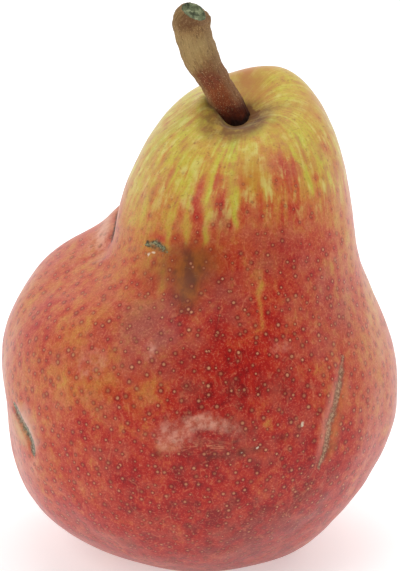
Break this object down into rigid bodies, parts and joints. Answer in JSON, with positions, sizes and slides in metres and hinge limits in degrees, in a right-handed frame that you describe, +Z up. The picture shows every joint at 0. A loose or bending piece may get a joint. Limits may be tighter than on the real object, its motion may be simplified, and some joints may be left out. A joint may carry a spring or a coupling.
{
  "type": "pear",
  "caption": "Ripe red pear with a wide, lopsided belly, a leaning neck with a fold beside it, a woody stem in the crown and a dried calyx underneath, standing on its base.",
  "frame": {"origin": "on the surface that the pear stands on, under the middle of its bounding box", "axes": "+Z up, -Y towards the side that the picture shows, +X towards the side that the neck leans to"},
  "size_m": [0.0734, 0.072, 0.1047],
  "materials": {
    "skin": "Waxy fruit skin with a soft gloss: red blush over yellow-green, streaked on the neck, with pale spots, and scars of brown cork.",
    "stem": "Rough woody stalk, olive brown above and dark red brown at the root, with a grey-green cut end.",
    "calyx": "Dried, papery dark brown sepals."
  },
  "bodies": {
    "root": {"body": "skin", "stem": "stem", "calyx": "calyx"}
  },
  "joints": []
}
